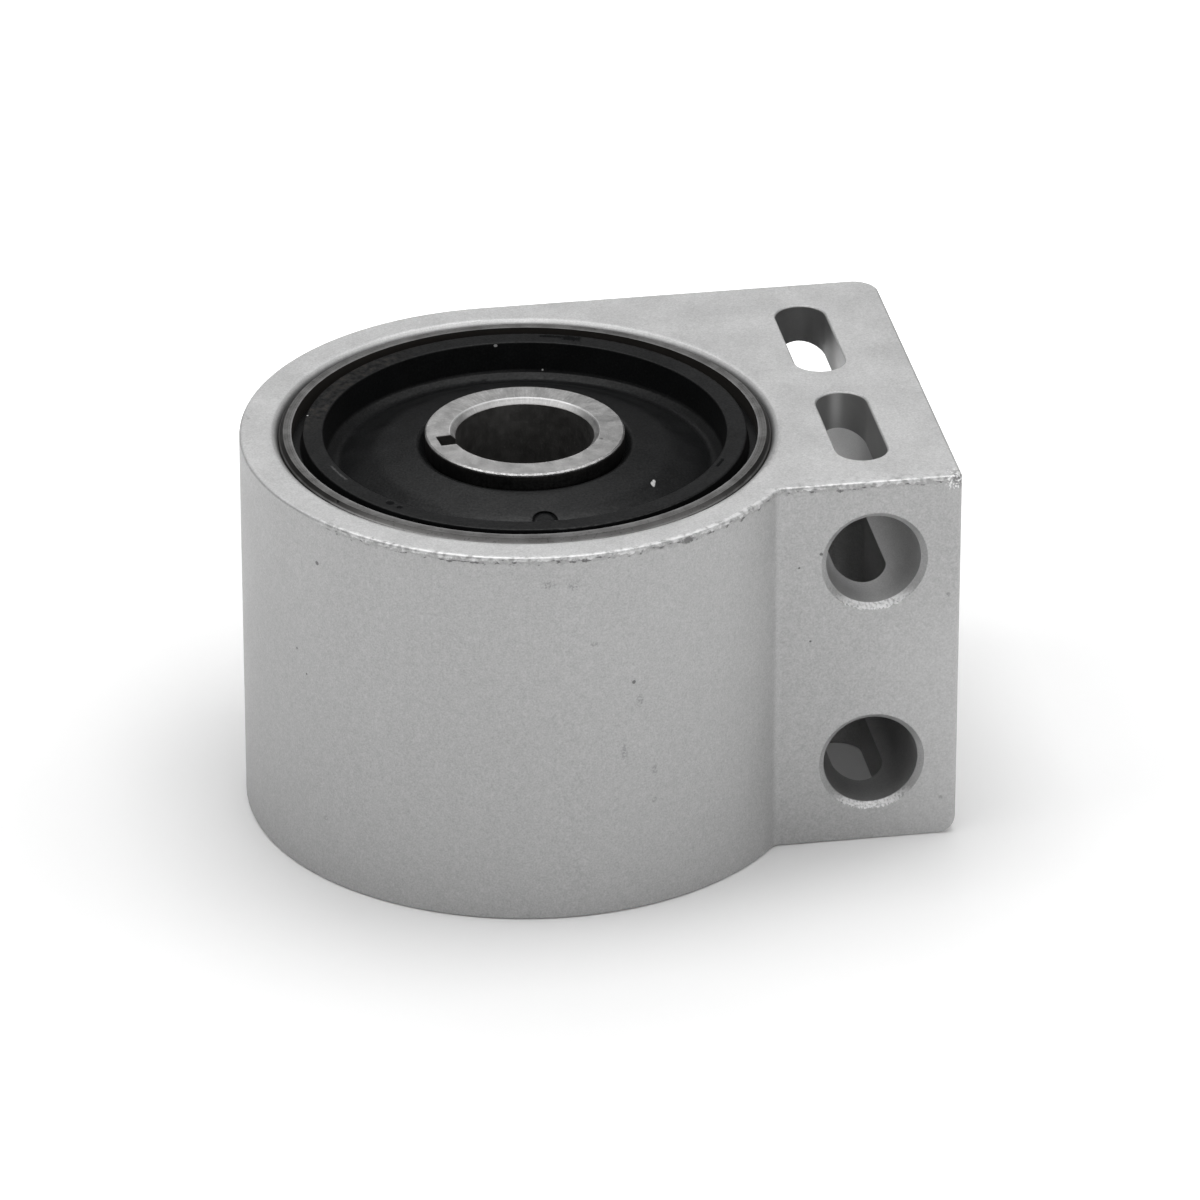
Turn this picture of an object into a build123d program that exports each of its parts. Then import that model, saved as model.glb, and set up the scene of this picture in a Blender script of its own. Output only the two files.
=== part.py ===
from build123d import *
from math import atan2, degrees, sqrt
import os

# Rubber-metal bush pressed into a two-bolt aluminium housing. Lengths are in millimetres.
# The origin is the middle of the bush, and its axis is Z. The flange points to +X.
# The bolts run along Y, and the bolted front face looks to -Y.

# Housing: a round boss with a flange
height = 56.4
boss_radius = 40.0
boss_wall = 5.5
flange_length = 17.6
front_face_offset = 24.6
front_corner_radius = 0.8
back_corner_radius = 3.6
junction_radius = 1.8
lower_corner_radius = 3.1
outer_edge_break = 0.4
bore_mouth_radius = 1.5

# Bolt holes, one above the other, and the two slots that cross them, the back one a little nearer
# to the boss
bolt_pitch = 31.6
bolt_hole_radius = 6.75
bolt_hole_chamfer = 0.8
hole_to_end_wall = 5.55
slot_width = 7.3
slot_length = 21.8
slot_edge_break = 0.2
slot_edge_angle = 45.0
back_slot_inset = 0.45

# Outer sleeve, pressed metal to metal into the housing
outer_sleeve_wall = 1.8
outer_sleeve_lead_in = 0.6
press_fit_clearance = 0.0

# Inner sleeve, a little shorter than the housing at each end, with a small notch in its top face
inner_bore_radius = 9.75
inner_sleeve_wall = 4.25
inner_sleeve_recess = 0.24
inner_bore_chamfer = 0.75
inner_edge_break = 0.2
notch_angle = 187.0
notch_width = 3.0
notch_reach = 2.8
notch_depth = 4.0

# Rubber beside the outer sleeve: a groove, a flat ring and the ring's inner wall.
# Each depth is measured from the end plane.
groove_width = 1.6
groove_depth = 2.4
groove_flare = 0.3
ring_width = 2.8
ring_outer_depth = 0.15
ring_inner_depth = 0.22
ring_edge_radius = 0.2
wall_draft = 0.3
wall_foot_depth = 4.6
wall_foot_radius = 0.5

# Rubber between the wall's foot and the inner sleeve: a valley, a mound and a lip
valley_width = 1.5
valley_depth = 5.7
valley_radius = 1.3
mound_share = 0.358
mound_depth = 3.0
mound_radius = 7.0
lip_width = 1.1
lip_depth = 2.1
lip_foot_depth = 3.2
lip_edge_radius = 0.8

# Round mark of the rubber's injection point, on the slope of the upper end
gate_mark_radius = 1.75
gate_mark_depth = 0.35
gate_mark_angle = 268.3
gate_mark_offset = 1.1

# Slack when edges are picked by their radius
radius_match = 0.001

# Sizes that follow from those above
half_height = height / 2
housing_bore_radius = boss_radius - boss_wall
outer_sleeve_radius = housing_bore_radius - press_fit_clearance
rubber_radius = outer_sleeve_radius - outer_sleeve_wall
inner_sleeve_radius = inner_bore_radius + inner_sleeve_wall
inner_half_height = half_height - inner_sleeve_recess
mound_width = mound_share * (rubber_radius - inner_sleeve_radius)
flange_reach = boss_radius + flange_length
bolt_line_x = flange_reach - hole_to_end_wall - bolt_hole_radius
flange_depth = boss_radius + front_face_offset
flange_middle_y = boss_radius - flange_depth / 2
slot_end_wall = (flange_depth - 2 * slot_length) / 3
slot_spacing = slot_length + slot_end_wall


def full_height(flat, reach=half_height):
    """A flat shape on the middle plane, carried up and down by its reach."""
    return extrude(flat, reach, both=True)


def circles(solid, radius):
    """The circular edges of one radius."""
    found = solid.edges().filter_by(GeomType.CIRCLE)
    return found.filter_by(lambda edge: abs(edge.radius - radius) < radius_match)


def rounded(flat, x, y, radius):
    """A flat shape with its corner at x, y rounded."""
    corner = flat.vertices().sort_by_distance(Vector(x, y, 0))[0]
    return fillet(corner, radius)


def housing_outline():
    """Plan of the housing: a round boss whose back runs on, tangent, as the flange's back face."""
    junction_x = sqrt(boss_radius**2 - front_face_offset**2)
    back = Line((0, boss_radius), (flange_reach, boss_radius))
    side = Line((flange_reach, boss_radius), (flange_reach, -front_face_offset))
    front = Line((flange_reach, -front_face_offset), (junction_x, -front_face_offset))
    boss = ThreePointArc((junction_x, -front_face_offset), (-boss_radius, 0), (0, boss_radius))
    plan = make_face([back, side, front, boss])
    plan = rounded(plan, junction_x, -front_face_offset, junction_radius)
    plan = rounded(plan, flange_reach, -front_face_offset, front_corner_radius)
    return rounded(plan, flange_reach, boss_radius, back_corner_radius)


def lower_corner_waste():
    """What is missing where the flange's lower end corner is rounded, along its whole depth."""
    size = lower_corner_radius
    block = Pos(flange_reach - size / 2, flange_middle_y, size / 2 - half_height)
    core = Pos(flange_reach - size, flange_middle_y, size - half_height) * Rot(90, 0, 0)
    return block * Box(size, flange_depth, size) - core * Cylinder(size, flange_depth)


def slot_waste():
    """A slot through the whole height, a little wider where it meets the end planes."""
    plan = SlotOverall(slot_length, slot_width, rotation=90)
    mouth = Pos(0, 0, half_height - slot_edge_break) * extrude(plan, slot_edge_break, taper=-slot_edge_angle)
    return full_height(plan) + mouth + mirror(mouth, Plane.XY)


def make_housing():
    """Aluminium housing: its plan extruded, then bored, slotted and cross drilled."""
    body = full_height(housing_outline())
    levels = body.edges().group_by(Axis.Z)
    body = fillet(levels[0] + levels[-1], outer_edge_break)
    body -= lower_corner_waste()

    body -= full_height(Circle(housing_bore_radius))
    body = fillet(circles(body, housing_bore_radius), bore_mouth_radius)

    slot = slot_waste()
    body -= Pos(bolt_line_x, flange_middle_y - slot_spacing / 2, 0) * slot
    body -= Pos(bolt_line_x - back_slot_inset, flange_middle_y + slot_spacing / 2, 0) * slot

    drill = Rot(90, 0, 0) * Cylinder(bolt_hole_radius, flange_depth)
    for side in (-1, 1):
        body -= Pos(bolt_line_x, flange_middle_y, side * bolt_pitch / 2) * drill
    mouths = circles(body, bolt_hole_radius).group_by(Axis.Y)
    return chamfer(mouths[0] + mouths[-1], bolt_hole_chamfer)


def make_outer_sleeve():
    """Steel tube with a lead-in chamfer on its outer edge at both ends."""
    tube = full_height(Circle(outer_sleeve_radius) - Circle(rubber_radius))
    return chamfer(circles(tube, outer_sleeve_radius), outer_sleeve_lead_in)


def make_inner_sleeve():
    """Thick steel tube with a chamfered bore and a square notch from the bore into its top face."""
    tube = full_height(Circle(inner_sleeve_radius) - Circle(inner_bore_radius), inner_half_height)
    tube = chamfer(circles(tube, inner_bore_radius), inner_bore_chamfer)
    tube = chamfer(circles(tube, inner_sleeve_radius), inner_edge_break)
    reach = inner_bore_radius + notch_reach
    notch = Box(reach, notch_width, notch_depth, align=(Align.MIN, Align.CENTER, Align.MAX))
    return tube - Rot(0, 0, notch_angle) * Pos(0, 0, inner_half_height) * notch


def rubber_corners():
    """Corners of the rubber's upper end, outwards from the inner sleeve, as radius and height."""
    ring_outer = rubber_radius - groove_width
    ring_inner = ring_outer - ring_width
    wall_foot = ring_inner - wall_draft
    stations = {
        "sleeve": (inner_sleeve_radius, lip_foot_depth),
        "lip": (inner_sleeve_radius + lip_width, lip_depth),
        "mound": (inner_sleeve_radius + mound_width, mound_depth),
        "valley": (wall_foot - valley_width, valley_depth),
        "wall_foot": (wall_foot, wall_foot_depth),
        "ring_inner": (ring_inner, ring_inner_depth),
        "ring_outer": (ring_outer, ring_outer_depth),
        "groove_inner": (ring_outer + groove_flare, groove_depth),
        "groove_outer": (rubber_radius, groove_depth),
    }
    return {name: (radius, half_height - depth) for name, (radius, depth) in stations.items()}


def gate_mark(mound, valley):
    """A shallow round pit, sunk square to the slope that falls from the mound to the valley."""
    (mound_at, mound_level), (valley_at, valley_level) = mound, valley
    fall = (mound_level - valley_level) / (valley_at - mound_at)
    turn = Rot(0, 0, gate_mark_angle)
    place = Pos(mound_at + gate_mark_offset, 0, mound_level - fall * gate_mark_offset)
    tilt = Rot(0, degrees(atan2(fall, 1)), 0)
    pit = Cylinder(gate_mark_radius, 2 * gate_mark_depth)
    return turn * place * tilt * pit


def make_rubber_body():
    """Rubber turned from its half section, with the same form at both ends."""
    corners = rubber_corners()
    roundings = {
        "lip": lip_edge_radius,
        "mound": mound_radius,
        "valley": valley_radius,
        "wall_foot": wall_foot_radius,
        "ring_inner": ring_edge_radius,
        "ring_outer": ring_edge_radius,
        "groove_inner": ring_edge_radius,
    }
    upper = list(corners.values())
    lower = [(radius, -level) for radius, level in reversed(upper)]
    section = make_face(Polyline(*upper, *lower, close=True))
    for name, rounding in roundings.items():
        radius, level = corners[name]
        section = rounded(section, radius, level, rounding)
        section = rounded(section, radius, -level, rounding)
    body = revolve(Plane.XZ * section, Axis.Z)
    return body - gate_mark(corners["mound"], corners["valley"])


parts = {
    "housing": make_housing(),
    "outer_sleeve": make_outer_sleeve(),
    "rubber_body": make_rubber_body(),
    "inner_sleeve": make_inner_sleeve(),
}

os.makedirs("parts", exist_ok=True)
for name, part in parts.items():
    export_step(part, f"parts/{name}.step")
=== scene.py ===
from math import cos, radians, sin

import bpy
from mathutils import Euler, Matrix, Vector


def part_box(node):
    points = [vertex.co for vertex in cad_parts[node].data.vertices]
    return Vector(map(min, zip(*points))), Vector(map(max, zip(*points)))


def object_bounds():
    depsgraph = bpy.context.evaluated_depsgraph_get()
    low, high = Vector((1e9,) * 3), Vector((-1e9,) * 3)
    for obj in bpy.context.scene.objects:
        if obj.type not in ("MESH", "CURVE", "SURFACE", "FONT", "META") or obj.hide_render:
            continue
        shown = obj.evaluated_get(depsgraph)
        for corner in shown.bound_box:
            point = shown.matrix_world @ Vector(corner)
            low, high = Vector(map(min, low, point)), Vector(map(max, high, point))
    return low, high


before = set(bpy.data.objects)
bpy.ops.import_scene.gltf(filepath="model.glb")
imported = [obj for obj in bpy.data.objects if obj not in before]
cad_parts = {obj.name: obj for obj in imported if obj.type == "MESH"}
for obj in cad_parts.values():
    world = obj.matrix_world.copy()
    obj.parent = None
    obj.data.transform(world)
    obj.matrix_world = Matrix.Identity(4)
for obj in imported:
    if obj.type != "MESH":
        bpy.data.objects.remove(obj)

cad_low, cad_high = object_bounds()

# Lengths are in metres, in the frame of the part: Z up the bore, +X to the flange, -Y the front face.
MM = 0.001

# Housing, whose bore has a rounded mouth
TOP = cad_high.z
FLOOR = cad_low.z
BOSS_RADIUS = cad_high.y
MOUTH_RADIUS = 36.0 * MM
FLANGE_START = 31.5 * MM
FLANGE_END = cad_high.x
FRONT_Y = -24.6 * MM
EDGE_BREAK = 0.4 * MM
HOLE_X = 45.3 * MM
HOLE_Z = 15.8 * MM
HOLE_RADIUS = 6.75 * MM
HOLE_CHAMFER = 0.8 * MM
FRONT_SLOT = (45.3 * MM, -6.7 * MM)
BACK_SLOT = (44.85 * MM, 22.1 * MM)
SLOT_RADIUS = 3.65 * MM
SLOT_HALF_STRAIGHT = 7.25 * MM

# Outer sleeve, with a lead-in on the outer edge of its rim
RIM_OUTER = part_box("outer_sleeve")[1].x
RIM_INNER = RIM_OUTER - 1.8 * MM
LEAD_IN = 0.6 * MM

# Inner sleeve
SLEEVE_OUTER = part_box("inner_sleeve")[1].x
SLEEVE_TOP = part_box("inner_sleeve")[1].z
SLEEVE_BORE = 9.75 * MM
SLEEVE_CHAMFER = 0.75 * MM

# Flat ring of the rubber, and the round mark where the rubber was injected
RING_INNER = 28.3 * MM
RING_OUTER = 31.1 * MM
GATE_RADIUS = 1.75 * MM

# Camera of the photograph, fitted to the part's outline
CAMERA_PLACE = (-172.6 * MM, -1089.8 * MM, 572.8 * MM)
CAMERA_TURN = (62.61, 0.0, -9.547)
CAMERA_LENS = 263.45
CAMERA_SENSOR = 36.0
CAMERA_REACH = (0.1, 20.0)

# Softboxes at one distance from the middle of the part: azimuth and elevation in degrees, side, power
LIGHT_DISTANCE = 0.9
SOFTBOXES = {
    "overhead": (0, 89, 0.6, 4.45),
    "left": (175, 55, 0.5, 1.7),
    "right": (5, 55, 0.5, 1.28),
    "back": (90, 55, 0.5, 1.05),
    "front": (-72, 25, 0.5, 0.95),
}
SURROUND_STRENGTH = 0.15

# Size of the notches along the edges of marks, and how far an arc fades at its two ends, in degrees
TORN_SIZE = 0.35 * MM
ARC_FADE = 0.5


def span(*lengths):
    """Lengths in millimetres as metres."""
    return tuple(length * MM for length in lengths)


def on_boss(angle, height):
    """A point on the round side of the housing, by its angle in degrees and its height in millimetres."""
    turn = radians(angle)
    return Vector((BOSS_RADIUS * cos(turn), BOSS_RADIUS * sin(turn), height * MM))


def on_front(x, height):
    """A point on the flange's front face, in millimetres."""
    return Vector((x * MM, FRONT_Y, height * MM))


def around(radius, angle, height):
    """A point by its radius, its angle in degrees and its height, in millimetres."""
    turn = radians(angle)
    return Vector((radius * cos(turn), radius * sin(turn), height)) * MM


def grey(level, warmth=0.0):
    """A linear grey as a colour, a little warmer or cooler."""
    return (level * (1 + warmth), level, level * (1 - warmth), 1.0)


WHITE = grey(1.0)


class Paint:
    """A node material under construction. Its methods take and give sockets or plain numbers."""

    def __init__(self, name):
        self.material = bpy.data.materials.new(name)
        self.material.use_nodes = True
        self.nodes = self.material.node_tree.nodes
        self.links = self.material.node_tree.links
        self.shader = self.nodes["Principled BSDF"]
        self.place = self.nodes.new("ShaderNodeTexCoord").outputs["Object"]
        self.x, self.y, self.z = self.add("ShaderNodeSeparateXYZ", self.place).outputs
        self.radius = self.length(self.x, self.y)
        self.angle = self.math("ARCTAN2", self.y, self.x)
        self.torn = self.noise(TORN_SIZE, detail=3.0)
        self.colour = None

    def add(self, kind, *values, **settings):
        """A node, with its settings, and its first sockets set or joined."""
        node = self.nodes.new(kind)
        for name, value in settings.items():
            setattr(node, name, value)
        for socket, value in zip(node.inputs, values):
            self.put(socket, value)
        return node

    def put(self, socket, value):
        """Joins a socket to another one, or sets it."""
        if isinstance(value, bpy.types.NodeSocket):
            self.links.new(value, socket)
        else:
            socket.default_value = value

    def math(self, operation, *values):
        """The result of one sum, product or other operation."""
        return self.add("ShaderNodeMath", *values, operation=operation).outputs[0]

    def length(self, across, along):
        """Length of a flat step from its two sides."""
        across_squared = self.math("MULTIPLY", across, across)
        along_squared = self.math("MULTIPLY", along, along)
        return self.math("SQRT", self.math("ADD", across_squared, along_squared))

    def step(self, value, start, end, low=0.0, high=1.0):
        """low until value reaches start, high from end on, and smooth between."""
        return self.add("ShaderNodeMapRange", value, start, end, low, high,
                        interpolation_type="SMOOTHSTEP").outputs[0]

    def beside(self, edge, value, start, end, low=0.0, high=1.0):
        """A step that starts and ends a few millimetres past an edge."""
        return self.step(value, edge + start * MM, edge + end * MM, low, high)

    def band(self, value, start, end, soft):
        """1 where value is between start and end."""
        rising = self.step(value, start - soft, start + soft)
        falling = self.step(value, end + soft, end - soft)
        return self.both(rising, falling)

    def upper_half(self):
        """1 on the upper half of the part."""
        return self.step(self.z, 0.0, MM)

    def both(self, *masks):
        """Masks multiplied."""
        result = masks[0]
        for mask in masks[1:]:
            result = self.math("MULTIPLY", result, mask)
        return result

    def any(self, *masks):
        """The strongest of several masks."""
        result = masks[0]
        for mask in masks[1:]:
            result = self.math("MAXIMUM", result, mask)
        return result

    def noise(self, size, detail=2.0, stretch=(1.0, 1.0, 1.0), place=None):
        """Cloudy noise from 0 to 1, with features about size across."""
        scaled = self.add("ShaderNodeVectorMath", place or self.place,
                          [factor / size for factor in stretch], operation="MULTIPLY").outputs[0]
        node = self.add("ShaderNodeTexNoise", scaled)
        node.inputs["Scale"].default_value = 1.0
        node.inputs["Detail"].default_value = detail
        return node.outputs["Fac"]

    def rings(self, size):
        """Noise that makes rings about the bore."""
        place = self.add("ShaderNodeCombineXYZ", self.radius, 0.0, self.z).outputs[0]
        return self.noise(size, place=place)

    def reach(self, centre, stretch=(1.0, 1.0, 1.0)):
        """Distance from a point, with each axis weighted."""
        away = self.add("ShaderNodeVectorMath", self.place, centre, operation="SUBTRACT").outputs[0]
        away = self.add("ShaderNodeVectorMath", away, stretch, operation="MULTIPLY").outputs[0]
        return self.add("ShaderNodeVectorMath", away, operation="LENGTH").outputs["Value"]

    def uneven(self, reach, noise=None):
        """A small length, up to about reach, that changes from place to place."""
        return self.math("MULTIPLY", self.math("SUBTRACT", noise or self.torn, 0.5), reach * 2)

    def spot(self, centre, size, ragged=0.35, stretch=(1.0, 1.0, 1.0)):
        """1 within size of a point, with an uneven edge."""
        away = self.math("ADD", self.reach(centre, stretch), self.uneven(size * ragged))
        return self.step(away, size, size * 0.6)

    def spots(self, marks):
        """Spots by place, size in millimetres, and where it differs, how ragged and how stretched."""
        return self.any(*[self.spot(place, size * MM, *shape) for place, size, *shape in marks])

    def arc(self, inner, outer, start, end, ragged):
        """1 on the upper end between two radii in millimetres and two angles in degrees."""
        width = (outer - inner) * MM
        away = self.math("ADD", self.radius, self.uneven(width * ragged))
        across = self.band(away, inner * MM, outer * MM, width / 5)
        along = self.band(self.angle, radians(start), radians(end), radians(ARC_FADE))
        return self.both(across, along, self.upper_half())

    def mix(self, share, low, high):
        """From colour low to colour high by share."""
        node = self.add("ShaderNodeMix", data_type="RGBA")
        self.put(node.inputs["Factor"], share)
        self.put(node.inputs["A"], low)
        self.put(node.inputs["B"], high)
        return [socket for socket in node.outputs if socket.type == "RGBA"][0]

    def tint(self, mask, share, target):
        """Moves the colour towards a target by a share, where the mask is 1."""
        self.colour = self.mix(self.math("MULTIPLY", mask, share), self.colour, target)

    def finish(self, roughness, height, depth, **sockets):
        """Joins colour, roughness and a bump of that depth to the shader, and its other sockets."""
        bump = self.add("ShaderNodeBump")
        bump.inputs["Strength"].default_value = 1.0
        bump.inputs["Distance"].default_value = depth
        self.put(bump.inputs["Height"], height)
        self.put(self.shader.inputs["Base Color"], self.colour)
        self.put(self.shader.inputs["Roughness"], roughness)
        self.put(self.shader.inputs["Normal"], bump.outputs[0])
        for name, value in sockets.items():
            self.put(self.shader.inputs[name.replace("_", " ")], value)
        return self.material


# Patches are where a noise from 0 to 1 starts a mark, and where the mark is whole. A wash is a share, and
# the tone that a mark moves the colour towards by that share.
CLOUDS = (0.3, 0.7)

# Housing's skin: the sizes of its grain, specks and clouds, and the share of each in its tone
CAST_GRAIN = 0.24 * MM
CAST_SPECKLE = 0.9 * MM
CAST_MOTTLE = 6.0 * MM
GRAIN_SHARE = 0.6
SPECKLE_SHARE = 0.2
MOTTLE_SHARE = 0.2

# Darkest and palest tone of the housing's sides and of its two end planes, whose paler tones are painted
# light standing in for the stronger light on the top
SIDE_TONES = (grey(0.225), grey(0.69))
LIT_END_TONES = (grey(0.32), grey(0.86))

# Shade in the mouth of the bore, which deepens from the front to the back
MOUTH_DEEPENS = span(-30.0, -5.0)
MOUTH_SHARE = (0.2, 0.75)
MOUTH_TONE = grey(0.04)

# Painted light on the lower right of the flange's front
PAINTED_LIGHT_LEFT = 38.0 * MM
PAINTED_LIGHT_HEIGHT = span(18.0, -4.0)
PAINTED_LIGHT_WASH = (0.13, grey(0.95))


def cast_skin(paint, grain, mottle):
    """Grainy grey, with painted light on the end planes and the front's lower right, and painted shade in
    the bore's mouth.
    """
    speckle = paint.noise(CAST_SPECKLE, detail=3.0)
    fine = paint.math("ADD", paint.math("MULTIPLY", grain, GRAIN_SHARE),
                      paint.math("MULTIPLY", speckle, SPECKLE_SHARE))
    tone = paint.math("ADD", fine, paint.math("MULTIPLY", mottle, MOTTLE_SHARE))
    # Both end planes are painted paler than the sides, as painted light
    end_face = paint.beside(TOP, paint.math("ABSOLUTE", paint.z), -0.15, -0.05)
    paint.colour = paint.mix(end_face, paint.mix(tone, *SIDE_TONES), paint.mix(tone, *LIT_END_TONES))

    mouth = paint.both(paint.beside(MOUTH_RADIUS, paint.radius, -0.7, -1.3), paint.upper_half())
    paint.tint(mouth, paint.step(paint.y, *MOUTH_DEEPENS, *MOUTH_SHARE), MOUTH_TONE)
    # Painted light on the flange's front, paler towards its lower right
    pale = paint.both(
        paint.beside(FRONT_Y, paint.y, 1.0, 0.0),
        paint.step(paint.x, PAINTED_LIGHT_LEFT, FLANGE_END),
        paint.step(paint.z, *PAINTED_LIGHT_HEIGHT),
    )
    paint.tint(pale, *PAINTED_LIGHT_WASH)


# Stretch of the top edge with wear and a painted highlight: where it starts on the boss's round, and how
# unevenly it runs inwards
WORN_AND_LIT_ROUND = span(-20.0, -29.0)
WORN_AND_LIT_NOTCHES = 1.1 * MM
WORN_AND_LIT_REACH = 0.7 * MM

# Lines along it, a painted highlight and below it a dark line: how unevenly they run up and down, their
# heights and fades
LINE_NOTCHES = 0.8 * MM
LINE_REACH = 0.8 * MM
HIGHLIGHT_LINE = (TOP - 1.3 * EDGE_BREAK, TOP + 0.8 * EDGE_BREAK, 0.06 * MM)
DARK_LINE = (TOP - 2.4 * EDGE_BREAK, TOP - 1.4 * EDGE_BREAK, 0.10 * MM)
WEAR_SIZE = 0.9 * MM
DULL_PATCHES = (0.46, 0.36)
DULL_WASH = (0.45, grey(0.22))
BRIGHT_PATCHES = (0.38, 0.62)
BRIGHT_SHARE = (0.1, 1.0)
EDGE_HIGHLIGHT_WASH = (0.6, grey(0.85))
DARK_WASH = (0.2, grey(0.15))

# Chips in the lower line, which are longer across than down
CHIP_SIZE = 0.7 * MM
CHIP_STRETCH = (0.6, 0.6, 1.6)
CHIP_PATCHES = (0.55, 0.62)
CHIP_WASH = (0.75, grey(0.10))

# Broken edge at the flange's end, and the knocked corner in front of it
END_EDGE_X = (FLANGE_END - 1.2 * EDGE_BREAK, FLANGE_END - 0.7 * EDGE_BREAK)
END_EDGE_Z = (TOP - 1.5 * EDGE_BREAK, TOP - 0.9 * EDGE_BREAK)
END_EDGE_WASH = (0.25, grey(0.25))
CORNER = Vector((FLANGE_END, FRONT_Y, TOP))
CORNER_SIZE = 2.6 * MM
CORNER_DARK_PATCHES = (0.50, 0.58)
CORNER_DARK_WASH = (0.65, grey(0.10))
CORNER_BRIGHT_PATCHES = (0.46, 0.38)
CORNER_BRIGHT_WASH = (0.8, grey(0.95))


def front_edge(paint):
    """Where the housing's top edge has wear and a painted highlight: round the front of the boss and along
    the flange's front.
    """
    tear = paint.uneven(WORN_AND_LIT_REACH, paint.noise(WORN_AND_LIT_NOTCHES, detail=4.0))
    inwards = paint.math("ADD", paint.math("SUBTRACT", BOSS_RADIUS, paint.radius), tear)
    on_round = paint.both(paint.beside(0.0, inwards, 0.75, 0.55), paint.step(paint.y, *WORN_AND_LIT_ROUND))
    behind = paint.math("ADD", paint.math("SUBTRACT", paint.y, FRONT_Y), tear)
    on_flange = paint.both(paint.beside(FLANGE_START, paint.x, -3.0, 0.0),
                           paint.beside(0.0, behind, 0.65, 0.45))
    outside_mouth = paint.beside(MOUTH_RADIUS, paint.radius, 1.0, 1.5)
    return paint.both(outside_mouth, paint.any(on_round, on_flange))


def worn_and_highlit_front_edge(paint):
    """A painted highlight line with dull patches along the worn edge, and a darker one with chips below it.
    """
    edge = front_edge(paint)
    torn_z = paint.math("ADD", paint.z, paint.uneven(LINE_REACH, paint.noise(LINE_NOTCHES, detail=4.0)))
    # Painted highlight along the worn edge, broken by dull patches
    highlight_line = paint.both(edge, paint.band(torn_z, *HIGHLIGHT_LINE))
    wear = paint.noise(WEAR_SIZE, detail=4.0)
    paint.tint(paint.both(highlight_line, paint.step(wear, *DULL_PATCHES)), *DULL_WASH)
    bright = paint.step(wear, *BRIGHT_PATCHES, *BRIGHT_SHARE)
    paint.tint(paint.both(highlight_line, bright), *EDGE_HIGHLIGHT_WASH)

    dark_line = paint.both(edge, paint.band(torn_z, *DARK_LINE))
    paint.tint(dark_line, *DARK_WASH)
    streaks = paint.noise(CHIP_SIZE, detail=4.0, stretch=CHIP_STRETCH)
    chips = paint.both(dark_line, paint.step(streaks, *CHIP_PATCHES))
    paint.tint(chips, *CHIP_WASH)
    return chips


def worn_end_edge(paint):
    """The duller broken edge at the flange's end, and its front corner, knocked dark and bright."""
    end_edge = paint.both(paint.step(paint.x, *END_EDGE_X), paint.step(paint.z, *END_EDGE_Z))
    paint.tint(end_edge, *END_EDGE_WASH)
    corner = paint.spot(CORNER, CORNER_SIZE, ragged=0.6)
    paint.tint(paint.both(corner, paint.step(paint.torn, *CORNER_DARK_PATCHES)), *CORNER_DARK_WASH)
    paint.tint(paint.both(corner, paint.step(paint.torn, *CORNER_BRIGHT_PATCHES)), *CORNER_BRIGHT_WASH)


# Chamfers of the bolt holes, with a painted highlight below and painted shade above: heights above a hole's
# axis where each mark starts and is whole
CHAMFER_HIGHLIGHT_HEIGHT = span(-4.2, -6.4)
PITS_HEIGHT = span(-2.5, -4.0)
SHADE_HEIGHT = span(1.0, 5.0)
CHAMFER_END_REACH = 0.4 * MM
CHAMFER_HIGHLIGHT_PATCHES = (0.3, 0.6)
CHAMFER_HIGHLIGHT_SHARE = (0.35, 0.95)
CHAMFER_HIGHLIGHT_TONE = grey(0.95)
PITS_PATCHES = (0.38, 0.32)
PITS_WASH = (0.25, grey(0.15))
CHAMFER_SHADE = (0.45, grey(0.22))

# Walls of the bolt holes: painted shade on the lower one, painted light on the upper one, and more so
# towards the back
LOWER_HOLE_SHADE = (0.4, grey(0.25))
UPPER_HOLE_PALES = span(2.0, 6.0)
UPPER_HOLE_SHARE = (0.15, 0.5)
UPPER_HOLE_LIGHT_TONE = grey(0.95)


def bolt_holes(paint):
    """Marks on the holes' front chamfers, a painted highlight below and painted shade above, and the painted
    light and shade of the holes' walls.
    """
    side = paint.math("SIGN", paint.z)
    rise = paint.math("SUBTRACT", paint.z, paint.math("MULTIPLY", side, HOLE_Z))
    away = paint.length(paint.math("SUBTRACT", paint.x, HOLE_X), rise)

    chamfer_end = paint.math("ADD", paint.uneven(CHAMFER_END_REACH), HOLE_RADIUS + HOLE_CHAMFER - 0.1 * MM)
    on_chamfer = paint.both(
        paint.beside(HOLE_RADIUS, away, -0.1, 0.0),
        paint.beside(0.0, paint.math("SUBTRACT", away, chamfer_end), 0.15, -0.05),
        paint.beside(FRONT_Y + HOLE_CHAMFER, paint.y, 0.1, 0.0),
    )
    # Painted highlight on the lower part of the chamfer
    chamfer_highlight = paint.both(on_chamfer, paint.step(rise, *CHAMFER_HIGHLIGHT_HEIGHT))
    paint.tint(chamfer_highlight, paint.step(paint.torn, *CHAMFER_HIGHLIGHT_PATCHES, *CHAMFER_HIGHLIGHT_SHARE), CHAMFER_HIGHLIGHT_TONE)
    pits = paint.both(
        on_chamfer,
        paint.step(rise, *PITS_HEIGHT),
        paint.step(paint.torn, *PITS_PATCHES),
    )
    paint.tint(pits, *PITS_WASH)
    # Painted shade on the upper part of the chamfer
    paint.tint(paint.both(on_chamfer, paint.step(rise, *SHADE_HEIGHT)), *CHAMFER_SHADE)

    inside = paint.both(paint.beside(HOLE_RADIUS, away, 0.1, 0.02),
                        paint.beside(FRONT_Y + HOLE_CHAMFER, paint.y, -0.1, 0.0))
    # Painted shade on the lower hole's wall, painted light on the upper one's
    paint.tint(paint.both(inside, paint.step(paint.z, 0.0, -MM)), *LOWER_HOLE_SHADE)
    pales = paint.step(paint.y, *UPPER_HOLE_PALES, *UPPER_HOLE_SHARE)
    paint.tint(paint.both(inside, paint.upper_half()), pales, UPPER_HOLE_LIGHT_TONE)


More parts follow.
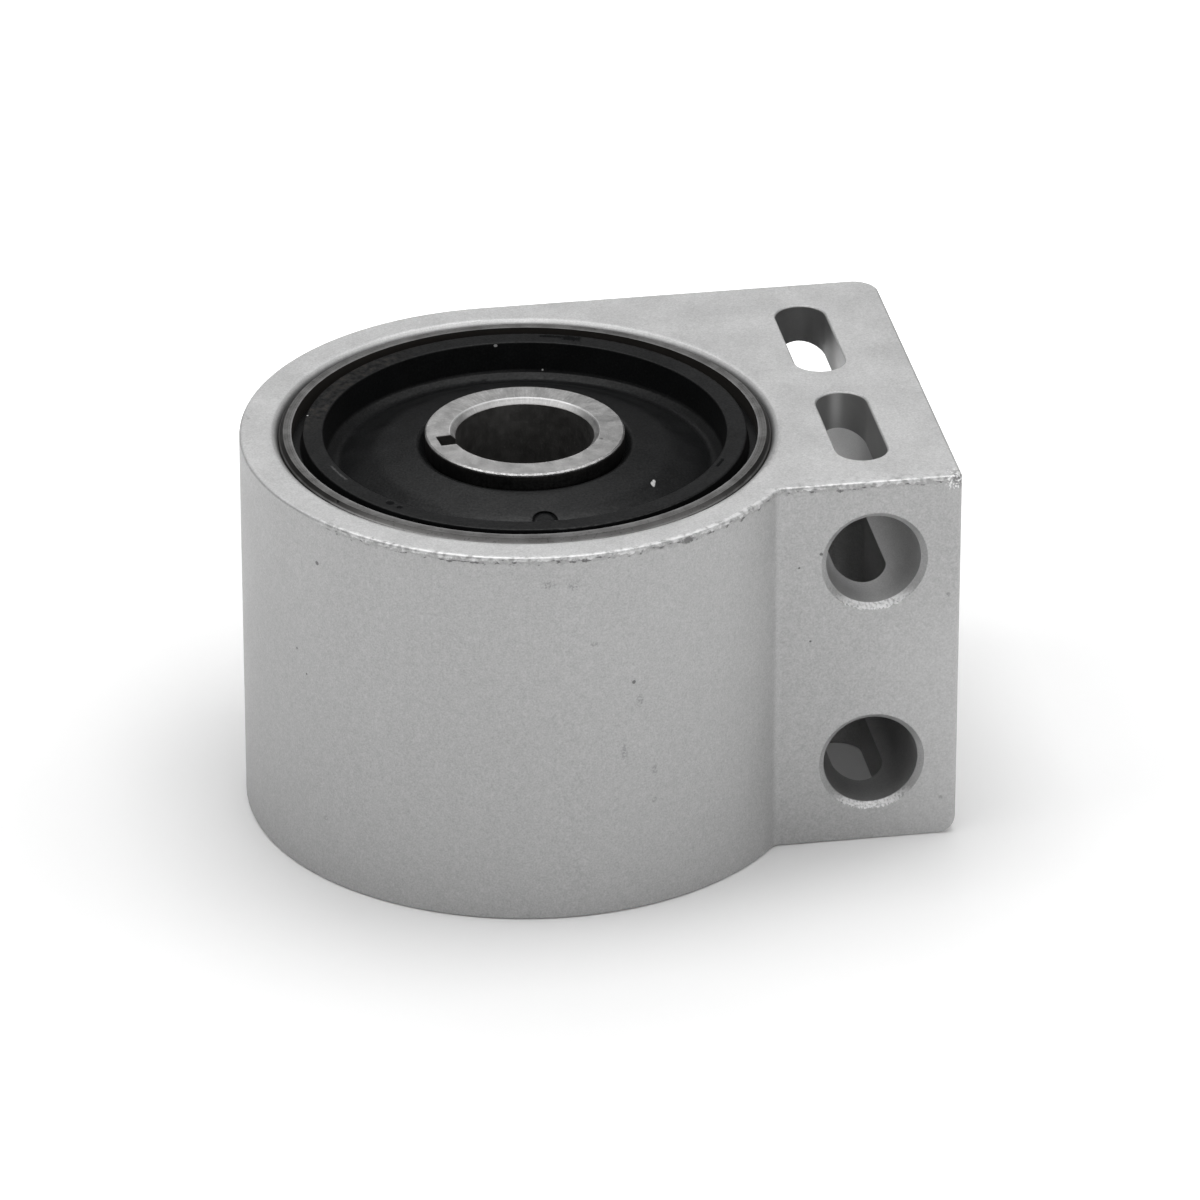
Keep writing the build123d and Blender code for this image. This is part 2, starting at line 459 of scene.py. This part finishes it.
# Front slot: painted shade on its walls, darker further down, with a painted streak of light at the back end
SLOT_DEEPENS = span(19.0, 12.0)
SLOT_SHADE_TONES = (grey(0.30), grey(0.13))
SLOT_HEIGHT = span(4.0, 14.0)
SLOT_SHARE = (0.15, 0.85)
STREAK_LEFT = FRONT_SLOT[0] - 0.6 * MM
STREAK_RIGHT = FRONT_SLOT[0] + 0.1 * MM
STREAK_FADE = 1.1 * MM
STREAK_END = span(2.0, 3.5)
STREAK_LIGHT_TONE = grey(0.85)

# Back slot: painted light towards the front, painted shade at its back end
LIT_SPAN = span(26.0, 16.0)
LIT_TONES = (grey(0.20), grey(0.98))
LIT_SHARE = 0.9


def slot_walls(paint, slot):
    """The inside of a slot: 1 up to its walls, which have rounded ends, and below its broken top edge."""
    across = paint.math("SUBTRACT", paint.x, slot[0])
    along = paint.math("ABSOLUTE", paint.math("SUBTRACT", paint.y, slot[1]))
    past = paint.math("MAXIMUM", paint.math("SUBTRACT", along, SLOT_HALF_STRAIGHT), 0.0)
    inside = paint.beside(SLOT_RADIUS, paint.length(across, past), 0.06, 0.02)
    return paint.both(inside, paint.beside(TOP, paint.z, -0.1, -0.4))


def slots(paint):
    """Painted light and shade on the walls of the two slots."""
    streak = paint.both(
        paint.band(paint.x, STREAK_LEFT, STREAK_RIGHT, STREAK_FADE),
        paint.step(paint.y, *STREAK_END),
        paint.beside(TOP, paint.z, -9.0, -1.0),
    )
    dark = paint.mix(paint.step(paint.z, *SLOT_DEEPENS), *SLOT_SHADE_TONES)
    share = paint.step(paint.z, *SLOT_HEIGHT, *SLOT_SHARE)
    # Painted shade on the front slot's walls, with a painted streak of light
    paint.tint(slot_walls(paint, FRONT_SLOT), share, paint.mix(streak, dark, STREAK_LIGHT_TONE))
    # Painted light and shade on the back slot's walls
    lit = paint.mix(paint.step(paint.y, *LIT_SPAN), *LIT_TONES)
    paint.tint(slot_walls(paint, BACK_SLOT), LIT_SHARE, lit)


# Small dark pits, each where the photograph shows one
SPECKS = (
    (on_boss(215.2, 21.44), 0.4),
    (on_boss(282.8, 7.59), 0.35),
    (on_boss(208.5, 6.4), 0.22),
    (on_boss(211.5, 3.2), 0.20),
    (on_front(36.3, 4.1), 0.2),
    (on_front(34.6, 15.7), 0.18),
    (on_front(37.7, 17.6), 0.28),
)
SPECK_WASH = (0.75, grey(0.09))

# Soft broken marks and short trails on the round side, the flange's front and the top
SMUDGES = (
    (on_front(55.8, 9.8), 0.45),
    (on_front(55.3, -22.4), 0.4),
    (around(39.15, 165.6, 28.2), 0.6, 0.6),
    (on_boss(216.6, -18.2), 0.5, 0.8),
    (on_boss(265.6, 24.06), 0.9, 0.9, (0.7, 0.7, 1.0)),
    (on_boss(270.7, 23.81), 0.9, 0.9, (0.7, 0.7, 0.8)),
    (on_boss(274.7, 14.4), 0.6, 0.9, (0.7, 0.7, 1.4)),
    (on_boss(284.1, 4.6), 0.7, 0.9, (1.0, 1.0, 0.5)),
    (on_boss(280.9, -3.1), 0.7, 0.9, (1.0, 1.0, 0.4)),
    (on_boss(287.4, -6.9), 0.6, 0.9, (1.0, 1.0, 0.5)),
    (on_boss(287.4, -11.6), 0.6, 0.9),
)
SMUDGE_PATCHES = (0.42, 0.58)
SMUDGE_WASH = (0.42, grey(0.15))

# Nick just below the top edge, on the boss's right front: place, size, how ragged and how stretched
NICK = (on_boss(294.9, 27.5), 0.6 * MM, 0.5, (0.5, 0.5, 1.0))
NICK_WASH = (0.75, grey(0.10))

# Finish of the housing, with the depth of its dents as a multiple of its grain's
CAST_ROUGHNESS = (0.50, 0.60)
CAST_RELIEF = 0.02 * MM
CAST_METALLIC = 0.55
DENT_DEPTH = 3.0


def cast_aluminium():
    """Satin blasted aluminium: fine grain, a nicked front edge with a painted highlight, slots with painted
    light and shade, a few dark specks.
    """
    paint = Paint("cast_aluminium")
    grain = paint.noise(CAST_GRAIN)
    mottle = paint.noise(CAST_MOTTLE, detail=4.0)
    cast_skin(paint, grain, mottle)
    chips = worn_and_highlit_front_edge(paint)
    worn_end_edge(paint)
    bolt_holes(paint)
    slots(paint)

    nick = paint.spot(*NICK)
    paint.tint(nick, *NICK_WASH)
    specks = paint.spots(SPECKS)
    paint.tint(specks, *SPECK_WASH)
    smudges = paint.both(paint.spots(SMUDGES), paint.step(paint.torn, *SMUDGE_PATCHES))
    paint.tint(smudges, *SMUDGE_WASH)

    roughness = paint.step(mottle, *CLOUDS, *CAST_ROUGHNESS)
    dents = paint.math("MULTIPLY", paint.any(specks, chips, nick), DENT_DEPTH)
    height = paint.math("SUBTRACT", grain, dents)
    return paint.finish(roughness, height, CAST_RELIEF, Metallic=CAST_METALLIC)


# Outer sleeve: stained steel with turning lines and dark flecks, and a bright inner edge
RIM_LINES = 0.22 * MM
RIM_STAINS = 2.5 * MM
RIM_TONES = (grey(0.14, 0.03), grey(0.29))
RIM_LINES_PATCHES = (0.45, 0.75)
RIM_LINES_WASH = (1.0, grey(0.36, 0.02))
RIM_FLECKS_PATCHES = (0.55, 0.70)
RIM_FLECKS_WASH = (0.4, grey(0.05))
RIM_EDGE_WASH = (0.7, grey(0.42))

# Its lead-in, with painted shade in the groove beside the housing, which darkens from the front to the back
LEAD_IN_DARKENS = span(-33.0, -15.0)
LEAD_IN_SHARE = (0.5, 0.88)
LEAD_IN_SHADE = grey(0.02, 0.06)

# Its inner wall, black with rubber, and the nick in its rim
RIM_WALL_TONES = (grey(0.018, 0.12), grey(0.040, 0.10))
RIM_NICK = around(34.3, 211.7, 28.2)
RIM_NICK_SIZE = 0.45 * MM
RIM_NICK_TONE = grey(0.02)
RIM_NICK_DEPTH = 6.0
RIM_ROUGHNESS = (0.36, 0.48)
RIM_RELIEF = 0.012 * MM


def sleeve_steel():
    """Dull steel of the outer sleeve: faint turning lines, painted shade on the lead-in, a wall stained by
    rubber.
    """
    paint = Paint("sleeve_steel")
    lines = paint.rings(RIM_LINES)
    stains = paint.noise(RIM_STAINS, detail=4.0)
    paint.colour = paint.mix(stains, *RIM_TONES)
    paint.tint(paint.step(lines, *RIM_LINES_PATCHES), *RIM_LINES_WASH)
    paint.tint(paint.step(paint.torn, *RIM_FLECKS_PATCHES), *RIM_FLECKS_WASH)
    inner_edge = paint.both(paint.beside(TOP, paint.z, -0.05, -0.02),
                            paint.beside(RIM_INNER, paint.radius, 0.28, 0.16))
    paint.tint(inner_edge, *RIM_EDGE_WASH)

    # Painted shade in the groove between the lead-in and the housing
    lead_in = paint.band(paint.radius, RIM_OUTER - LEAD_IN - 0.04 * MM, RIM_OUTER - 0.16 * MM, 0.08 * MM)
    paint.tint(lead_in, paint.step(paint.y, *LEAD_IN_DARKENS, *LEAD_IN_SHARE), LEAD_IN_SHADE)
    wall = paint.both(paint.beside(RIM_INNER, paint.radius, 0.04, 0.01),
                      paint.beside(TOP, paint.z, -0.01, -0.08))
    paint.tint(wall, 1.0, paint.mix(paint.torn, *RIM_WALL_TONES))
    nick = paint.spot(RIM_NICK, RIM_NICK_SIZE)
    paint.tint(nick, 1.0, RIM_NICK_TONE)

    roughness = paint.step(stains, *CLOUDS, *RIM_ROUGHNESS)
    height = paint.math("SUBTRACT", lines, paint.math("MULTIPLY", nick, RIM_NICK_DEPTH))
    metal = paint.math("SUBTRACT", 1.0, wall)
    return paint.finish(roughness, height, RIM_RELIEF, Metallic=metal)


# Inner sleeve's end: stained steel with turned rings, grain, and scratches along Y and along X
FACE_RINGS = 0.25 * MM
FACE_STAINS = 1.5 * MM
FACE_GRAIN = 0.3 * MM
FACE_TONES = (grey(0.29, 0.01), grey(0.68, 0.01))
FACE_RINGS_WASH = (0.25, grey(0.64))
FACE_GRAIN_PATCHES = (0.35, 0.65)
FACE_GRAIN_WASH = (0.35, grey(0.36))
SCRATCH_SIZE = 0.25 * MM
ALONG_Y = (1.0, 0.12, 1.0)
ALONG_Y_PATCHES = (0.66, 0.74)
ALONG_X = (0.12, 1.0, 1.0)
ALONG_X_PATCHES = (0.68, 0.76)
SCRATCH_WASH = (0.30, grey(0.75))

# Spokes on its far side, long outwards and short along the turn
FAR_SIDE = span(-4.0, 4.0)
SPOKE_SIZE = 0.3 * MM
SPOKE_RADIUS = 12.0 * MM
SPOKE_OUTWARDS = 0.15
SPOKE_DARK_PATCHES = (0.52, 0.66)
SPOKE_DARK_WASH = (0.35, grey(0.25))
SPOKE_PALE_PATCHES = (0.44, 0.34)
SPOKE_PALE_WASH = (0.35, grey(0.80))

# Painted shade on its right, the blotch and the dark spot there, and painted highlights on its two edges
RIGHT_SHADE = span(5.0, 13.0)
RIGHT_SHADE_WASH = (0.25, grey(0.20))
BLOTCH = around(12.25, 8.4, 27.96)
BLOTCH_SIZE = 1.7 * MM
BLOTCH_WASH = (0.30, grey(0.22))
DARK_SPOT = around(11.05, 336.4, 27.96)
DARK_SPOT_SIZE = 0.35 * MM
DARK_SPOT_WASH = (0.6, grey(0.12))
CHAMFER_EDGE_HIGHLIGHT = (0.55, grey(0.95))
NEAR_SIDE = span(-8.0, -11.0)
NEAR_HIGHLIGHT_PATCHES = (0.45, 0.55)
NEAR_EDGE_HIGHLIGHT = (0.5, grey(0.95))

# Its oily bore, its dark notch, and painted shade on its side, darkest at the rubber
OIL_CLOUDS = 1.2 * MM
OIL_TONES = (grey(0.27, 0.02), grey(0.49, 0.01))
OIL_SHARE = 0.95
NOTCH_WASH = (0.92, grey(0.09, 0.05))
SHANK_SHADE_TONES = (grey(0.028, 0.10), grey(0.004, 0.10))
SHANK_SHARE = 0.93
FACE_ROUGHNESS = (0.44, 0.54)
FACE_RELIEF = 0.014 * MM
FACE_GRAIN_DEPTH = 0.8


def faced_end(paint, rings, stains, grain):
    """Stained steel with faint spokes, rings, grain and scratches, painted shade on the right and painted
    highlights on two edges.
    """
    paint.colour = paint.mix(stains, *FACE_TONES)
    along_turn = paint.math("MULTIPLY", paint.angle, SPOKE_RADIUS)
    outwards = paint.math("MULTIPLY", paint.radius, SPOKE_OUTWARDS)
    spoke_place = paint.add("ShaderNodeCombineXYZ", along_turn, outwards, 0.0).outputs[0]
    spokes = paint.noise(SPOKE_SIZE, detail=3.0, place=spoke_place)
    far_side = paint.step(paint.y, *FAR_SIDE)
    paint.tint(paint.both(far_side, paint.step(spokes, *SPOKE_DARK_PATCHES)), *SPOKE_DARK_WASH)
    paint.tint(paint.both(far_side, paint.step(spokes, *SPOKE_PALE_PATCHES)), *SPOKE_PALE_WASH)

    paint.tint(rings, *FACE_RINGS_WASH)
    paint.tint(paint.step(grain, *FACE_GRAIN_PATCHES), *FACE_GRAIN_WASH)
    scratches = paint.any(
        paint.step(paint.noise(SCRATCH_SIZE, stretch=ALONG_Y), *ALONG_Y_PATCHES),
        paint.step(paint.noise(SCRATCH_SIZE, stretch=ALONG_X), *ALONG_X_PATCHES),
    )
    paint.tint(scratches, *SCRATCH_WASH)
    paint.tint(paint.step(paint.x, *RIGHT_SHADE), *RIGHT_SHADE_WASH)
    paint.tint(paint.spot(BLOTCH, BLOTCH_SIZE, ragged=0.8), *BLOTCH_WASH)
    paint.tint(paint.spot(DARK_SPOT, DARK_SPOT_SIZE), *DARK_SPOT_WASH)

    # Painted highlight on the chamfer's edge, on the far side
    chamfer_edge = paint.band(paint.radius, SLEEVE_BORE + 0.62 * MM, SLEEVE_BORE + 0.86 * MM, 0.08 * MM)
    paint.tint(paint.both(chamfer_edge, far_side), *CHAMFER_EDGE_HIGHLIGHT)
    # Painted highlight in patches along the near outer edge
    near_edge = paint.both(
        paint.beside(SLEEVE_OUTER, paint.radius, -0.35, -0.2),
        paint.step(paint.y, *NEAR_SIDE),
        paint.step(paint.torn, *NEAR_HIGHLIGHT_PATCHES),
    )
    paint.tint(near_edge, *NEAR_EDGE_HIGHLIGHT)


def sleeve_walls(paint):
    """Oil in the bore, dirt in the notch, and painted shade on the dark side that climbs out of the rubber.
    """
    oil = paint.mix(paint.noise(OIL_CLOUDS, detail=4.0), *OIL_TONES)
    paint.tint(paint.beside(SLEEVE_BORE, paint.radius, 0.15, 0.0), OIL_SHARE, oil)

    to_face = paint.math("SUBTRACT", SLEEVE_BORE + SLEEVE_CHAMFER, paint.radius)
    sunk = paint.math("ADD", paint.z, paint.math("MAXIMUM", to_face, 0.0))
    notch = paint.both(
        paint.band(paint.radius, SLEEVE_BORE, SLEEVE_OUTER - 0.4 * MM, 0.1 * MM),
        paint.band(sunk, -SLEEVE_TOP + 1.2 * MM, SLEEVE_TOP - 0.12 * MM, 0.08 * MM),
    )
    paint.tint(notch, *NOTCH_WASH)

    # Painted shade on the sleeve's side, darkest at its foot by the rubber
    shank = paint.both(paint.beside(SLEEVE_OUTER, paint.radius, -0.1, 0.0),
                       paint.beside(SLEEVE_TOP, paint.z, -0.25, -0.55))
    foot = paint.beside(SLEEVE_TOP, paint.z, -0.5, -1.4)
    paint.tint(shank, SHANK_SHARE, paint.mix(foot, *SHANK_SHADE_TONES))


def turned_steel():
    """Faced steel of the inner sleeve: faint rings and scratches on its end, a dark oily bore."""
    paint = Paint("turned_steel")
    rings = paint.rings(FACE_RINGS)
    stains = paint.noise(FACE_STAINS, detail=5.0)
    grain = paint.noise(FACE_GRAIN, detail=3.0)
    faced_end(paint, rings, stains, grain)
    sleeve_walls(paint)
    roughness = paint.step(stains, *CLOUDS, *FACE_ROUGHNESS)
    height = paint.math("ADD", rings, paint.math("MULTIPLY", grain, FACE_GRAIN_DEPTH))
    return paint.finish(roughness, height, FACE_RELIEF, Metallic=1.0)


# Rubber: near black, with fine grain, soft clouds and faint dust
RUBBER_GRAIN = 0.30 * MM
RUBBER_CLOUDS = 4.0 * MM
RUBBER_TONES = (grey(0.0045, -0.04), grey(0.0095, -0.04))
DUST_SIZE = 0.4 * MM
DUST_PATCHES = (0.62, 0.75)
DUST_WASH = (0.35, grey(0.03))

# Dusty stretch of its ring, at the back on the left
DUSTY_X = span(-8.0, -18.0)
DUSTY_Y = span(2.0, 10.0)
BLOTCHES_SIZE = 0.9 * MM
DUSTY_PATCHES = (0.48, 0.66)
DUSTY_WASH = (0.7, grey(0.025, 0.15))
STAIN_PATCHES = (0.48, 0.38)

# Specks of pale dirt on it, each where the photograph shows one
FLECKS = (
    (around(21.0, 318.9, 25.0), 0.37, 0.3, (1.0, 0.55, 0.05)),
    (around(20.8, 320.7, 25.1), 0.24, 0.3, (1.0, 0.5, 0.05)),
    (around(28.0, 75.7, 23.8), 0.18),
    (around(28.27, 89.4, 27.6), 0.26, 0.35, (0.8, 1.0, 1.0)),
    (around(30.9, 162.2, 28.0), 0.16),
)
FLECK_TONE = grey(0.50)

# Scars of its ring, and a thin paler arc on it: inner and outer radius, first and last angle, how ragged
GOUGE_HEAD = (29.5, 30.8, 65.5, 70.5, 0.6)
GOUGE_TAIL = (30.0, 30.7, 70.0, 77.0, 0.6)
SCRATCH = (28.9, 29.4, -33.0, -27.5, 0.5)
PALE_ARC = (28.95, 29.25, -166.5, -157.0, 0.9)
PALE_ARC_WASH = (0.45, grey(0.12))
DARK_SPOTS = (
    (around(29.3, 221.6, 28.0), 0.8, 0.5),
    (around(29.5, 225.2, 28.0), 0.6, 0.5),
)

# Middle of the injection mark, whose distance is taken almost without height
GATE = around(21.8, 268.3, 24.9)
FLAT = (1.0, 1.0, 0.05)

# Gloss: how much each mark takes from it, and how it changes outwards, towards the back and by grain
GATE_DULL = 0.65
SCARS_DULL = 0.95
STAINS_DULL = 0.5
SHEEN = (0.185, 0.215)
SHEEN_BACK = span(10.0, 20.0)
SHEEN_BACK_SHARE = (1.0, 0.78)
SHEEN_PATCHES = (0.25, 0.75)
SHEEN_GRAIN = (0.65, 1.35)
RUBBER_ROUGHNESS = (0.32, 0.42)
GRAIN_ROUGHNESS = 0.10
RUBBER_RELIEF = 0.022 * MM
SCAR_DEPTH = 2.0


def black_rubber():
    """Moulded rubber: satin black, fine grain, a dusty stretch of the ring, and the photograph's scars."""
    paint = Paint("black_rubber")
    grain = paint.noise(RUBBER_GRAIN, detail=3.0)
    clouds = paint.noise(RUBBER_CLOUDS, detail=4.0)
    paint.colour = paint.mix(clouds, *RUBBER_TONES)

    blotches = paint.noise(BLOTCHES_SIZE, detail=4.0)
    on_ring = paint.band(paint.radius, RING_INNER + 0.2 * MM, RING_OUTER, 0.2 * MM)
    far_left = paint.both(paint.step(paint.x, *DUSTY_X), paint.step(paint.y, *DUSTY_Y))
    dusty = paint.both(on_ring, far_left)
    paint.tint(paint.step(paint.noise(DUST_SIZE), *DUST_PATCHES), *DUST_WASH)
    paint.tint(paint.both(dusty, paint.step(blotches, *DUSTY_PATCHES)), *DUSTY_WASH)
    paint.tint(paint.spots(FLECKS), 1.0, FLECK_TONE)
    # A thin paler arc near the ring's inner edge
    paint.tint(paint.arc(*PALE_ARC), *PALE_ARC_WASH)

    gate = paint.reach(GATE, FLAT)
    gate_disc = paint.beside(GATE_RADIUS, gate, 0.05, -0.1)
    gate_edge = paint.band(gate, GATE_RADIUS - 0.28 * MM, GATE_RADIUS + 0.04 * MM, 0.1 * MM)
    gouge = paint.any(paint.arc(*GOUGE_HEAD), paint.arc(*GOUGE_TAIL))
    scars = paint.any(gouge, paint.arc(*SCRATCH), gate_edge, paint.spots(DARK_SPOTS))
    stains = paint.both(dusty, paint.step(blotches, *STAIN_PATCHES))
    dull = paint.any(
        paint.math("MULTIPLY", gate_disc, GATE_DULL),
        paint.math("MULTIPLY", scars, SCARS_DULL),
        paint.math("MULTIPLY", stains, STAINS_DULL),
    )
    sheen = paint.both(
        paint.beside(RING_INNER, paint.radius, -1.5, 0.0, *SHEEN),
        paint.step(paint.y, *SHEEN_BACK, *SHEEN_BACK_SHARE),
        paint.step(grain, *SHEEN_PATCHES, *SHEEN_GRAIN),
    )
    shine = paint.math("MULTIPLY", paint.math("SUBTRACT", 1.0, dull), sheen)

    rough_grain = paint.math("MULTIPLY", paint.math("SUBTRACT", grain, 0.5), GRAIN_ROUGHNESS)
    roughness = paint.math("ADD", paint.step(clouds, *CLOUDS, *RUBBER_ROUGHNESS), rough_grain)
    height = paint.math("SUBTRACT", grain, paint.math("MULTIPLY", scars, SCAR_DEPTH))
    return paint.finish(roughness, height, RUBBER_RELIEF, Metallic=0.0, Specular_IOR_Level=shine)


def dress(node, material):
    """Gives a CAD node its material."""
    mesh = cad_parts[node].data
    mesh.materials.clear()
    mesh.materials.append(material)


dress("housing", cast_aluminium())
dress("outer_sleeve", sleeve_steel())
dress("inner_sleeve", turned_steel())
dress("rubber_body", black_rubber())

# Floor: half its side, and its finish
FLOOR_REACH = 3.0
FLOOR_CLOUDS = 0.2
FLOOR_TONES = (grey(0.94), grey(0.98))
FLOOR_ROUGHNESS = 0.8
FLOOR_RELIEF = 0.1 * MM

# Its glow away from a point near the part's middle: two rings, and the strength that each adds
GLOW_MIDDLE = Vector((0.0, -2.0 * MM, FLOOR))
GLOW_NEAR = span(38.0, 92.0)
GLOW_NEAR_STRENGTH = 0.11
GLOW_FAR = span(92.0, 150.0)
GLOW_FAR_STRENGTH = 0.35

# Its painted shadow below the flange, seen through the slots
PATCH_X = span(38.0, 52.0)
PATCH_Y = span(-20.0, 36.0)
PATCH_FADE = 1.0 * MM
SHADOW_PATCH_TONE = grey(0.65)


def pale_floor():
    """Nearly white, with a painted shadow below the flange and a faint glow away from the part."""
    paint = Paint("pale_floor")
    cloud = paint.noise(FLOOR_CLOUDS)
    below_flange = paint.both(paint.band(paint.x, *PATCH_X, PATCH_FADE),
                              paint.band(paint.y, *PATCH_Y, PATCH_FADE))
    # Painted shadow on the floor below the flange
    paint.colour = paint.mix(below_flange, paint.mix(cloud, *FLOOR_TONES), SHADOW_PATCH_TONE)
    away = paint.reach(GLOW_MIDDLE)
    near_glow = paint.step(away, *GLOW_NEAR, 0.0, GLOW_NEAR_STRENGTH)
    far_glow = paint.step(away, *GLOW_FAR, 0.0, GLOW_FAR_STRENGTH)
    glow = paint.math("ADD", near_glow, far_glow)
    return paint.finish(FLOOR_ROUGHNESS, cloud, FLOOR_RELIEF, Emission_Color=WHITE, Emission_Strength=glow)


def make_floor():
    """Plain pale floor under the part."""
    mesh = bpy.data.meshes.new("floor")
    corners = [(x * FLOOR_REACH, y * FLOOR_REACH, FLOOR) for x, y in ((-1, -1), (1, -1), (1, 1), (-1, 1))]
    mesh.from_pydata(corners, [], [(0, 1, 2, 3)])
    mesh.materials.append(pale_floor())
    floor = bpy.data.objects.new("floor", mesh)
    bpy.context.scene.collection.objects.link(floor)


def softbox(name, azimuth, elevation, side, power):
    """A square area light that faces the part: azimuth from +X and elevation from the floor, in degrees."""
    turn, rise = radians(azimuth), radians(elevation)
    place = Vector((cos(rise) * cos(turn), cos(rise) * sin(turn), sin(rise))) * LIGHT_DISTANCE
    light = bpy.data.lights.new(name, "AREA")
    light.size = side
    light.energy = power
    lamp = bpy.data.objects.new(name, light)
    lamp.location = place
    lamp.rotation_euler = (-place).to_track_quat("-Z", "Y").to_euler()
    bpy.context.scene.collection.objects.link(lamp)


def make_light():
    """Soft tent light: a large box overhead, one on each side, and a pale surround."""
    for name, settings in SOFTBOXES.items():
        softbox(name, *settings)
    world = bpy.data.worlds.new("surround")
    world.use_nodes = True
    background = world.node_tree.nodes["Background"]
    background.inputs["Color"].default_value = WHITE
    background.inputs["Strength"].default_value = SURROUND_STRENGTH
    bpy.context.scene.world = world


def make_camera():
    """Camera at the photograph's viewing angle."""
    data = bpy.data.cameras.new("camera")
    data.sensor_width = CAMERA_SENSOR
    data.lens = CAMERA_LENS
    data.clip_start, data.clip_end = CAMERA_REACH
    camera = bpy.data.objects.new("camera", data)
    camera.location = CAMERA_PLACE
    camera.rotation_euler = Euler([radians(angle) for angle in CAMERA_TURN])
    bpy.context.scene.collection.objects.link(camera)
    bpy.context.scene.camera = camera


make_floor()
make_light()
make_camera()
bpy.context.scene.view_settings.view_transform = "Standard"
